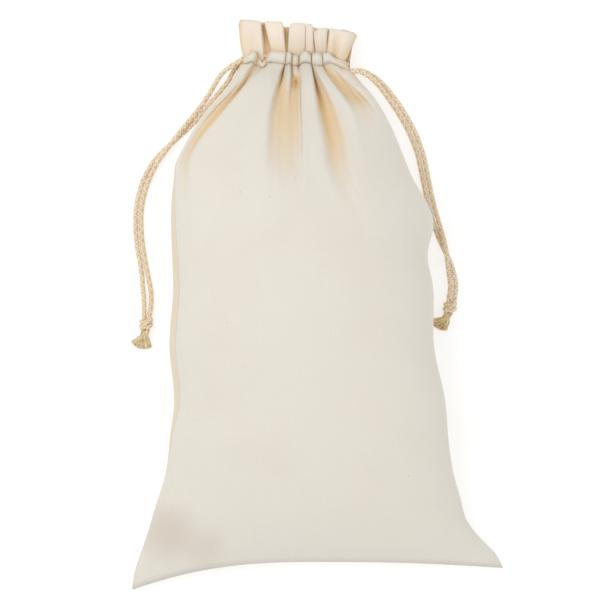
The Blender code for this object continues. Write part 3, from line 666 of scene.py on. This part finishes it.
class Nodes:
    """Small helper for a material's node tree."""

    def __init__(self, name):
        self.material = bpy.data.materials.new(name)
        self.material.use_nodes = True
        self.tree = self.material.node_tree
        self.shader = self.tree.nodes["Principled BSDF"]

    def add(self, kind, **settings):
        node = self.tree.nodes.new(kind)
        for key, value in settings.items():
            setattr(node, key, value)
        return node

    def link(self, start, end):
        self.tree.links.new(start, end)

    def math(self, operation, first, second=None):
        node = self.add("ShaderNodeMath", operation=operation)
        for socket, value in zip(node.inputs, (first, second)):
            if value is None:
                continue
            if isinstance(value, (int, float)):
                socket.default_value = value
            else:
                self.link(value, socket)
        return node.outputs[0]

    def blend(self, factor, first, second):
        """Colour between two, each a socket or a constant."""
        node = self.add("ShaderNodeMix", data_type="RGBA")
        pairs = ((node.inputs[0], factor), (node.inputs[6], first), (node.inputs[7], second))
        for socket, value in pairs:
            if isinstance(value, (int, float)):
                socket.default_value = value
            elif isinstance(value, tuple):
                socket.default_value = (*value, 1.0)
            else:
                self.link(value, socket)
        return node.outputs[2]

    def noise(self, vector, scale, detail=2.0, roughness=0.5):
        node = self.add("ShaderNodeTexNoise")
        node.inputs["Scale"].default_value = scale
        node.inputs["Detail"].default_value = detail
        node.inputs["Roughness"].default_value = roughness
        self.link(vector, node.inputs["Vector"])
        return node.outputs["Fac"]

    def stretched(self, vector, scale):
        node = self.add("ShaderNodeMapping")
        node.inputs["Scale"].default_value = scale
        self.link(vector, node.inputs["Vector"])
        return node.outputs[0]

    def ramp(self, value, low, high):
        node = self.add("ShaderNodeMapRange")
        node.inputs["From Min"].default_value = low
        node.inputs["From Max"].default_value = high
        self.link(value, node.inputs["Value"])
        return node.outputs[0]

    def mark(self, place, px, py, radius):
        """1 at a pixel of the photograph, seen from above, and 0 from a radius in pixels outwards."""
        node = self.add("ShaderNodeVectorMath", operation="DISTANCE")
        self.link(place, node.inputs[0])
        node.inputs[1].default_value = (*photo_point(px, py), 0.0)
        fade = self.add("ShaderNodeMapRange", interpolation_type="SMOOTHSTEP")
        fade.inputs["From Min"].default_value = radius * PIXEL
        fade.inputs["From Max"].default_value = 0.2 * radius * PIXEL
        self.link(node.outputs["Value"], fade.inputs["Value"])
        return fade.outputs[0]

    def bump(self, height, strength, distance, normal=None):
        node = self.add("ShaderNodeBump")
        node.inputs["Strength"].default_value = strength
        node.inputs["Distance"].default_value = distance
        self.link(height, node.inputs["Height"])
        if normal is not None:
            self.link(normal, node.inputs["Normal"])
        return node.outputs[0]


def cotton(name, base, header_colour, dark_patches, flecks):
    """Plain-weave cotton with threads, slubs, darker patches at the lower left and flecks, with painted
    shade, tan, deep in the folds.
    """
    n = Nodes(name)
    cloth = n.add("ShaderNodeUVMap", uv_map="cloth").outputs[0]
    parts = n.add("ShaderNodeSeparateXYZ")
    n.link(cloth, parts.inputs[0])
    thread = math.pi / THREAD_SPACING
    warp = n.math("SINE", n.math("MULTIPLY", parts.outputs[0], thread))
    weft = n.math("SINE", n.math("MULTIPLY", parts.outputs[1], thread))
    weave = n.math("MULTIPLY", warp, weft)
    slub_across = n.noise(n.stretched(cloth, (0.035, 1.6, 1.0)), 1.0, 3.0, 0.6)
    slub_along = n.noise(n.stretched(cloth, (1.6, 0.03, 1.0)), 1.0, 3.0, 0.6)
    slubs = n.math("ADD", slub_across, slub_along)
    cloudy = n.noise(cloth, 0.018, 2.0)
    fold = n.add("ShaderNodeAttribute", attribute_name="fold_shade").outputs["Fac"]
    header = n.add("ShaderNodeAttribute", attribute_name="header").outputs["Fac"]
    colour = n.blend(header, base, header_colour)
    colour = n.blend(n.math("MULTIPLY", n.ramp(cloudy, 0.45, 0.75), 0.35), colour, BLUSH)
    place = n.stretched(n.add("ShaderNodeTexCoord").outputs["Object"], (1.0, 1.0, 0.0))
    # Darker at the lower left corner, one patch over the left dog-ear's crease
    for px, py, radius, strength in dark_patches:
        colour = n.blend(n.math("MULTIPLY", n.mark(place, px, py, radius), strength), colour, DARK_PATCH)
    # Painted shade: the deeper the fold, the more tan the cloth
    fold_shade_mask = n.math("MULTIPLY", n.math("POWER", n.ramp(fold, 0.05, 1.15), 1.05), 0.85)
    colour = n.blend(fold_shade_mask, colour, FOLD_SHADE_TAN)
    shade = n.ramp(slubs, 0.55, 1.45)
    dark = n.add("ShaderNodeMix", data_type="RGBA", blend_type="MULTIPLY")
    dark.inputs[0].default_value = 1.0
    n.link(colour, dark.inputs[6])
    grey = n.blend(shade, (0.955, 0.95, 0.94), (1.0, 1.0, 1.0))
    n.link(grey, dark.inputs[7])
    colour = dark.outputs[2]
    for px, py, radius, strength in flecks:
        colour = n.blend(n.math("MULTIPLY", n.mark(place, px, py, radius), strength), colour, FLECK)
    n.link(colour, n.shader.inputs["Base Color"])
    n.shader.inputs["Roughness"].default_value = 0.93
    n.shader.inputs["Specular IOR Level"].default_value = 0.2
    n.shader.inputs["Sheen Weight"].default_value = 0.12
    n.shader.inputs["Sheen Roughness"].default_value = 0.5
    fine = n.bump(weave, 0.35, 0.00012)
    n.link(n.bump(slubs, 0.35, 0.0005, fine), n.shader.inputs["Normal"])
    return n.material


def yarn(name, light, dark, roughness):
    """Soft cotton yarn with fine fibre streaks, between a dark and a light colour at each point: at random
    on the tassels, and as painted shade on the braids' cores and where their yarns pass under.
    """
    n = Nodes(name)
    place = n.add("ShaderNodeTexCoord").outputs["Object"]
    broad = n.noise(place, 180.0, 3.0)
    fine = n.noise(place, 1600.0, 2.0)
    share = n.math("ADD", n.math("MULTIPLY", broad, 0.6), n.math("MULTIPLY", fine, 0.4))
    tone_and_shade = n.add("ShaderNodeAttribute", attribute_name="tone_and_shade").outputs["Fac"]
    streak = n.math("MULTIPLY", n.math("SUBTRACT", share, 0.5), 0.9)
    colour = n.blend(n.ramp(n.math("ADD", tone_and_shade, streak), 0.0, 0.8), dark, light)
    n.link(colour, n.shader.inputs["Base Color"])
    n.shader.inputs["Roughness"].default_value = roughness
    n.shader.inputs["Specular IOR Level"].default_value = 0.15
    n.shader.inputs["Sheen Weight"].default_value = 0.25
    n.link(n.bump(fine, 0.5, 0.0002), n.shader.inputs["Normal"])
    return n.material


def smooth_route(rows, step):
    """Dictionaries of the route's columns at even steps on a smooth curve through its points."""
    points = np.array(rows, dtype=float)
    lengths = np.linalg.norm(np.diff(points[:, :3], axis=0), axis=1)
    places = np.concatenate([[0.0], np.cumsum(lengths)])
    count = max(2, round(places[-1] * MM / step)) + 1
    return [
        dict(zip(ROUTE_COLUMNS, smooth_at(places, points, place)))
        for place in np.linspace(0.0, places[-1], count)
    ]


def strand_points(rows, front):
    """One strand of a free pair. It never sinks below the surface that the bag lies on."""
    stations = smooth_route(rows, CORD_STEP)
    plan = np.array([(s["x"], s["y"]) for s in stations])
    heading = np.gradient(plan, axis=0)
    heading /= np.linalg.norm(heading, axis=1)[:, None]
    points = []
    for station, (dx, dy) in zip(stations, heading):
        turn = math.radians(station["turn"])
        half = max(station["apart"] * MM, CORD_SPACING) / 2
        lift = max(station["z"] * MM, CORD_DIAMETER / 2 + half * abs(math.sin(turn)))
        sideways = np.array([-dy, dx, 0.0]) * math.cos(turn)
        offset = (sideways + np.array([0.0, 0.0, math.sin(turn)])) * half
        centre = np.array([station["x"] * MM, station["y"] * MM, lift])
        points.append(centre + offset if front else centre - offset)
    return np.array(points)


def channel_point(x, lane, z):
    across = (x - NECK_X) / (NECK_WIDTH / 2)
    return np.array([x, NECK_Y + lane + casing_line(across), z])


def casing_cord_points(side, lane):
    """The cord's hidden stretch: along the front casing, round the far slit and back along the other."""
    entry = NECK_X + side * NECK_WIDTH / 2
    turn_at = NECK_X - side * (NECK_WIDTH / 2 - CORD_RISE - CORD_DIAMETER / 2)
    straight = np.linspace(entry, turn_at, CASING_CORD_POINTS)
    ring = [channel_point(x, lane, NECK_Z + CORD_RISE) for x in straight[:-1]]
    for step in range(CASING_TURN_STEPS + 1):
        angle = math.radians(90 - 180 / CASING_TURN_STEPS * step)
        x = turn_at - side * CORD_RISE * math.cos(angle)
        ring.append(channel_point(x, lane, NECK_Z + CORD_RISE * math.sin(angle)))
    ring += [channel_point(x, lane, NECK_Z - CORD_RISE) for x in straight[::-1][1:]]
    return np.array(ring)


def resample(points, step):
    """The same route on a smooth curve, with a point at every step."""
    lengths = np.linalg.norm(np.diff(points, axis=0), axis=1)
    places = np.concatenate([[0.0], np.cumsum(lengths)])
    count = max(2, round(places[-1] / step)) + 1
    return np.array([smooth_at(places, points, place) for place in np.linspace(0.0, places[-1], count)])


def travelling_frames(points):
    """Tangent and two normals at each point, turned as little as the route allows."""
    tangents = np.gradient(points, axis=0)
    tangents /= np.linalg.norm(tangents, axis=1)[:, None]
    normal = np.cross(tangents[0], [0.0, 0.0, 1.0])
    if np.linalg.norm(normal) < 0.1:
        normal = np.cross(tangents[0], [1.0, 0.0, 0.0])
    normals = []
    for tangent in tangents:
        normal = normal - tangent * np.dot(normal, tangent)
        normal /= np.linalg.norm(normal)
        normals.append(normal)
    normals = np.array(normals)
    return tangents, normals, np.cross(tangents, normals)


class MeshPile:
    """Vertices and faces of many closed tubes, gathered for one mesh."""

    def __init__(self):
        self.points, self.faces, self.tones_and_shades = [], [], []

    def tube(self, centres, radii, sides, tone_and_shade=1.0):
        """A closed tube along a route, with a radius at each point and a value from dark 0 to light 1, which
        gives random colour variation or painted shade.
        """
        _, normals, sides_way = travelling_frames(centres)
        angles = np.arange(sides) * 2 * math.pi / sides
        ring = np.cos(angles)[:, None, None] * normals + np.sin(angles)[:, None, None] * sides_way
        points = centres + ring * np.asarray(radii)[:, None]
        base = sum(len(p) for p in self.points)
        count = len(centres)
        self.points.append(points.transpose(1, 0, 2).reshape(-1, 3))
        self.tones_and_shades.append(np.repeat(np.broadcast_to(tone_and_shade, (count,)), sides))
        for i in range(count - 1):
            for j in range(sides):
                k = (j + 1) % sides
                low, high = base + i * sides, base + (i + 1) * sides
                self.faces.append((low + j, low + k, high + k, high + j))
        self.faces.append(tuple(base + j for j in reversed(range(sides))))
        self.faces.append(tuple(base + (count - 1) * sides + j for j in range(sides)))

    def mesh(self, name):
        made = bpy.data.meshes.new(name)
        made.from_pydata(np.concatenate(self.points).tolist(), [], self.faces)
        # Stored per point for the material: random colour variation, and painted shade on the braids
        layer = made.attributes.new("tone_and_shade", "FLOAT", "POINT")
        layer.data.foreach_set("value", np.concatenate(self.tones_and_shades).astype(np.float32))
        made.shade_smooth()
        return made


def braid(pile, route, diameter, step=0.7 * MM):
    """A round braid: yarns that wind both ways and pass over and under each other, round a soft core. The
    core and each yarn where it passes under are painted darker as shade.
    """
    centres = resample(route, step)
    _, normals, across = travelling_frames(centres)
    lengths = np.concatenate([[0.0], np.cumsum(np.linalg.norm(np.diff(centres, axis=0), axis=1))])
    pitch = BRAID_PITCH * diameter
    radius = diameter / 2
    thick = BRAID_YARN * radius
    middle = radius - thick
    # Painted shade: the core is darkest, to show as shadow in the gaps between the yarns
    pile.tube(centres, np.full(len(centres), 0.66 * radius), 8, 0.0)
    for way in (1, -1):
        for carrier in range(BRAID_CARRIERS):
            phase = 2 * math.pi * carrier / BRAID_CARRIERS
            angle = way * (2 * math.pi * lengths / pitch) + phase
            meeting = BRAID_CARRIERS * (2 * math.pi * lengths / pitch) + way * phase * BRAID_CARRIERS / 2
            over = way * np.sin(meeting + math.pi / 2)
            reach = middle + 0.28 * thick * over
            offset = np.cos(angle)[:, None] * normals + np.sin(angle)[:, None] * across
            # Painted shade: a yarn is darker where it passes under the others
            tone_and_shade = 0.55 + 0.45 * over
            pile.tube(centres + offset * reach[:, None], np.full(len(centres), thick), 5, tone_and_shade)


def plan_matrix(start, heading):
    return Matrix.Translation(start) @ Matrix.Rotation(math.radians(heading), 4, "Z")


def knot_start(route, heading):
    x, y = (value * MM for value in route[-1][:2])
    turn = math.radians(heading)
    return Vector((x + KNOT_GAP * math.cos(turn), y + KNOT_GAP * math.sin(turn), KNOT_RISE))


def knot_pile(seed):
    """The tied knot from x = 0: both strands run in, wraps go round them, and a bight crosses over."""
    pile = MeshPile()
    draw = random.Random(seed)
    half = KNOT_WIDTH / 2
    squash = KNOT_HEIGHT / KNOT_WIDTH
    cord = 0.86 * CORD_DIAMETER
    for side in (-1, 1):
        core = [
            (-1.1 * MM, side * 2.15 * MM, 0.0),
            (0.25 * KNOT_LENGTH, side * 1.7 * MM, 0.2 * MM * side),
            (0.6 * KNOT_LENGTH, side * 1.5 * MM, -0.2 * MM * side),
            (0.97 * KNOT_LENGTH, side * 1.6 * MM, 0.0),
        ]
        braid(pile, np.array(core), CORD_DIAMETER)
    radius = half - cord / 2
    wrap = []
    for step in range(WRAP_STEPS + 1):
        share = step / WRAP_STEPS
        angle = 2 * math.pi * WRAP_TURNS * share - 0.9
        swell_by = 1.0 - 0.16 * (2 * share - 1) ** 2 + 0.02 * draw.uniform(-1, 1)
        x = mix(0.20, 0.80, share) * KNOT_LENGTH + 1.1 * MM * math.sin(angle)
        y = radius * swell_by * math.cos(angle)
        z = radius * squash * swell_by * math.sin(angle)
        wrap.append((x, y, z))
    braid(pile, np.array(wrap), cord)
    over = [
        (0.04 * KNOT_LENGTH, 0.45 * half, 0.30 * half),
        (0.26 * KNOT_LENGTH, 0.50 * half, 0.74 * half * squash),
        (0.52 * KNOT_LENGTH, 0.05 * half, 0.92 * half * squash),
        (0.78 * KNOT_LENGTH, -0.45 * half, 0.66 * half * squash),
        (0.95 * KNOT_LENGTH, -0.42 * half, 0.10 * half),
    ]
    braid(pile, np.array(over), 0.8 * cord)
    return pile


def tassel_pile(turn_degrees, seed):
    """Frayed ends from the knot's lower end: wavy fibres that fan out and settle on the surface."""
    pile = MeshPile()
    draw = random.Random(seed)
    turn = math.radians(turn_degrees)
    for _ in range(FIBRE_COUNT):
        fan = draw.uniform(-1, 1)
        angle = turn + math.radians(TASSEL_FAN) * fan
        length = TASSEL_LENGTH * (1 - 0.10 * fan * fan) * draw.uniform(0.86, 1.02)
        heel_y = 2.6 * MM * fan + draw.uniform(-0.5, 0.5) * MM
        heel_z = draw.uniform(-2.4, 2.2) * MM
        tip_z = draw.uniform(0.45, 5.0) * MM - KNOT_RISE
        bend = draw.uniform(-1.2, 1.2) * MM
        wobble = draw.uniform(0, 2 * math.pi)
        thick = draw.uniform(0.16, 0.30) * MM
        tone_and_shade = draw.choice((0.05, 0.35, 0.6, 0.8, 1.0))
        route = []
        for step in range(FIBRE_STEPS + 1):
            share = step / FIBRE_STEPS
            reach = length * share
            heading = turn * ease(share * 2.5) if share < 0.4 else angle
            side_way = bend * math.sin(math.pi * share) + 0.35 * MM * math.sin(9 * share + wobble)
            toward = mix(0.5 * turn, heading, share)
            x = -0.8 * MM + reach * math.cos(toward)
            y = heel_y * (1 - 0.5 * share) + reach * math.sin(toward) + side_way * 0.6
            z = mix(heel_z, tip_z, ease(share * 1.15)) + 0.25 * MM * math.sin(7 * share + wobble)
            route.append((x, y, max(z, 0.4 * MM - KNOT_RISE)))
        shares = np.linspace(0, 1, FIBRE_STEPS + 1)
        pile.tube(np.array(route), thick * (0.9 + 0.4 * shares - 0.5 * shares**4), 4, tone_and_shade)
    return pile


def add_cords(cord_material, tassel_material):
    """Each free strand, the stretch hidden in the casing, the knot and the tassel of both cords."""
    for name, route, side, lane, knot_heading, tassel_heading in CORDS:
        node = f"{name}_drawstring"
        start = knot_start(route, knot_heading)
        place = plan_matrix(start, knot_heading)
        label = f"{name}_tied_knot"
        mesh = knot_pile(11 + side).mesh(label)
        mesh.transform(place)
        knot = add_piece(label, mesh, cord_material, [f"{name}_knot"])
        label = f"{name}_frayed_tassel"
        mesh = tassel_pile(tassel_heading - knot_heading, 23 + side).mesh(label)
        mesh.transform(place @ Matrix.Translation((KNOT_LENGTH + CORD_CLEARANCE, 0, 0)))
        tassel = add_piece(label, mesh, tassel_material, [f"{name}_tassel"])
        for which, front in (("front", True), ("back", False)):
            points = strand_points(route, front)
            pile = MeshPile()
            braid(pile, points, CORD_DIAMETER)
            label = f"{name}_{which}_strand"
            strand = add_piece(label, pile.mesh(label), cord_material, [node])
        pile = MeshPile()
        braid(pile, casing_cord_points(side, lane), 0.9 * CORD_DIAMETER, step=1.2 * MM)
        label = f"{name}_casing_cord"
        add_piece(label, pile.mesh(label), cord_material, [node])


def stitch_line(pile, points, normals, spacing, length):
    """Short stitches along a line on the cloth, each a thread that dips in at both ends."""
    lengths = np.concatenate([[0.0], np.cumsum(np.linalg.norm(np.diff(points, axis=0), axis=1))])
    for start in np.arange(0.5 * spacing, lengths[-1] - length, spacing):
        shares = np.linspace(0, 1, 5)
        places = start + length * shares
        route = np.stack([np.interp(places, lengths, points[:, i]) for i in range(3)], axis=-1)
        out = np.stack([np.interp(places, lengths, normals[:, i]) for i in range(3)], axis=-1)
        route = route + out * (np.sin(np.pi * shares) * 0.22 - 0.10)[:, None] * MM
        pile.tube(route, np.array([0.10, 0.15, 0.16, 0.15, 0.10]) * MM, 5)


def row_normals(rows, index, side):
    """Outward normals of one row of a panel."""
    along = rows[index + 1][0] - rows[index - 1][0]
    across = np.gradient(rows[index][0], axis=0)
    normals = np.cross(across, along)
    normals /= np.linalg.norm(normals, axis=1)[:, None]
    return normals if side > 0 else -normals


def add_stitches(panels, material):
    """Both stitched lines of the casing, front and back."""
    pile = MeshPile()
    for rows, body_count, side in panels:
        for index in (body_count, body_count + CASING_STEPS):
            normals = row_normals(rows, index, side)
            points = rows[index][0] + normals * CLOTH
            stitch_line(pile, points, normals, 3.0 * MM, 2.3 * MM)
    return add_piece("casing_stitches", pile.mesh("casing_stitches"), material, [])


def add_slit_edge(material):
    """The hem of the slit that the right cord comes out of, rolled over the casing's right end."""
    pile = MeshPile()
    points = []
    for px, py, height in SLIT_EDGE:
        x, y = photo_point(px, py)
        points.append((x, y, height * MM))
    route = resample(np.array(points), 0.8 * MM)
    shares = np.linspace(0, 1, len(route))
    pile.tube(route, SLIT_EDGE_RADIUS * np.sin(np.pi * np.clip(shares, 0.08, 0.92)) ** 0.35, 8)
    return add_piece("slit_edge", pile.mesh("slit_edge"), material, [])


def add_camera():
    data = bpy.data.cameras.new("camera")
    camera = bpy.data.objects.new("camera", data)
    bpy.context.scene.collection.objects.link(camera)
    x, y = photo_point(IMAGE_SIDE / 2, IMAGE_SIDE / 2)
    camera.location = (x, y, OUTLINE_HEIGHT + CAMERA_DISTANCE)
    data.sensor_fit = "HORIZONTAL"
    data.sensor_width = 36.0
    data.lens = data.sensor_width * CAMERA_DISTANCE / (IMAGE_SIDE * PIXEL)
    data.clip_end = 50.0
    bpy.context.scene.camera = camera


def add_floor():
    mesh = bpy.data.meshes.new("floor")
    half = 4.0
    corners = [(-half, -half, 0), (half, -half, 0), (half, half, 0), (-half, half, 0)]
    mesh.from_pydata(corners, [], [(0, 1, 2, 3)])
    floor = bpy.data.objects.new("floor", mesh)
    bpy.context.scene.collection.objects.link(floor)
    floor.location.z = -0.0002
    n = Nodes("pale_floor")
    n.shader.inputs["Base Color"].default_value = (0.45, 0.45, 0.45, 1.0)
    n.shader.inputs["Emission Color"].default_value = (1.0, 1.0, 1.0, 1.0)
    n.shader.inputs["Emission Strength"].default_value = 0.62
    n.shader.inputs["Roughness"].default_value = 0.9
    n.shader.inputs["Specular IOR Level"].default_value = 0.1
    floor.data.materials.append(n.material)


def add_light(name, location, size, energy, colour):
    data = bpy.data.lights.new(name, "AREA")
    data.size = size
    data.energy = energy
    data.color = colour
    light = bpy.data.objects.new(name, data)
    bpy.context.scene.collection.objects.link(light)
    light.location = location
    light.rotation_euler = (-Vector(location)).to_track_quat("-Z", "Y").to_euler()


def add_lighting():
    world = bpy.data.worlds.new("soft_studio")
    bpy.context.scene.world = world
    world.use_nodes = True
    background = world.node_tree.nodes["Background"]
    background.inputs["Color"].default_value = (1.0, 1.0, 1.0, 1.0)
    background.inputs["Strength"].default_value = 0.73
    add_light("key", (-1.1, 0.5, 2.4), 1.6, 24.0, (1.0, 0.99, 0.98))
    add_light("fill", (1.8, -0.6, 2.0), 2.2, 8.0, (1.0, 1.0, 1.0))
    bpy.context.scene.view_settings.view_transform = "Standard"


def main():
    add_camera()
    cord_material = yarn("braided_cotton", CORD_LIGHT, CORD_DARK, 0.9)
    tassel_material = yarn("frayed_cotton", TASSEL_LIGHT, TASSEL_DARK, 0.92)
    add_cords(cord_material, tassel_material)
    front_cloth = cotton("front_cotton", CREAM, HEADER_CREAM, DARK_PATCHES, FLECKS)
    # The back's cotton is a darker copy of the front's: painted shade
    back_cloth = cotton("shaded_back_cotton", BACK_SHADE_CREAM, HEADER_CREAM, (), ())
    front = add_panel("front_cloth", FrontColumns(), 1, front_cloth, "front_panel")
    back = add_panel("back_cloth", BackColumns(), -1, back_cloth, "back_panel")
    thread = yarn("cotton_thread", CREAM, CORD_DARK, 0.9)
    add_stitches(((*front, 1), (*back, -1)), thread)
    add_slit_edge(thread)
    add_floor()
    add_lighting()


main()
